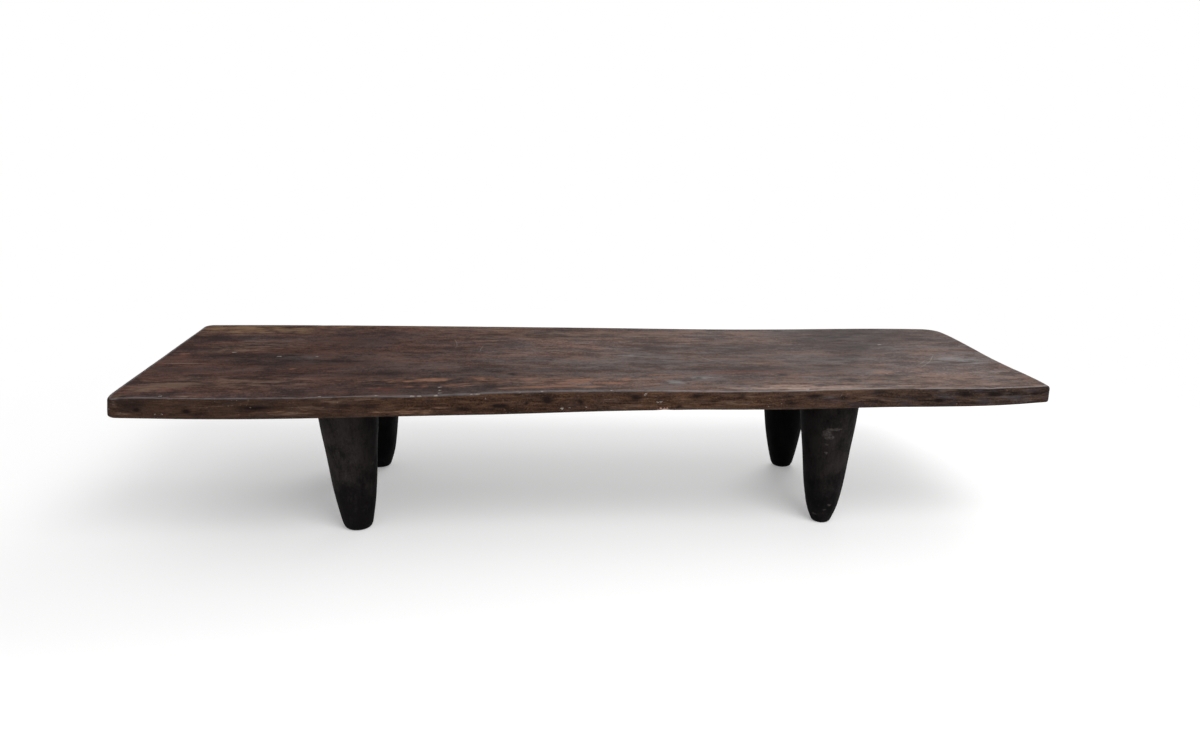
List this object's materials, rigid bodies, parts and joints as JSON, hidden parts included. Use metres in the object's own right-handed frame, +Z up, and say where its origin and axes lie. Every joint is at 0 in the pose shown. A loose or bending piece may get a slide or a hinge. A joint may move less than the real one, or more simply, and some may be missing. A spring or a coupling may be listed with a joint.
{
  "type": "senufo daybed",
  "caption": "Low hand-hewn wooden daybed: a broad plank tapering towards its foot end on round tapering legs.",
  "frame": {"origin": "on the floor under the middle of the slab's outer box", "axes": "+X along the bed from the wide head end to the narrow foot end, +Y from the front edge to the back edge, +Z up from the floor"},
  "size_m": [2.1094, 0.7258, 0.3715],
  "materials": {
    "slab_wood": "oiled and hand-rubbed, satin, worn arrises",
    "leg_wood": "smoke-blackened, matt, faint adze facets",
    "wedge_wood": "plain dry hardwood, split"
  },
  "bodies": {
    "root": {"slab": "slab_wood", "leg_head_front": "leg_wood", "leg_head_back": "leg_wood", "leg_foot_front": "leg_wood", "leg_foot_back": "leg_wood", "wedge_head_front": "wedge_wood", "wedge_head_back": "wedge_wood", "wedge_foot_front": "wedge_wood", "wedge_foot_back": "wedge_wood"}
  },
  "joints": []
}
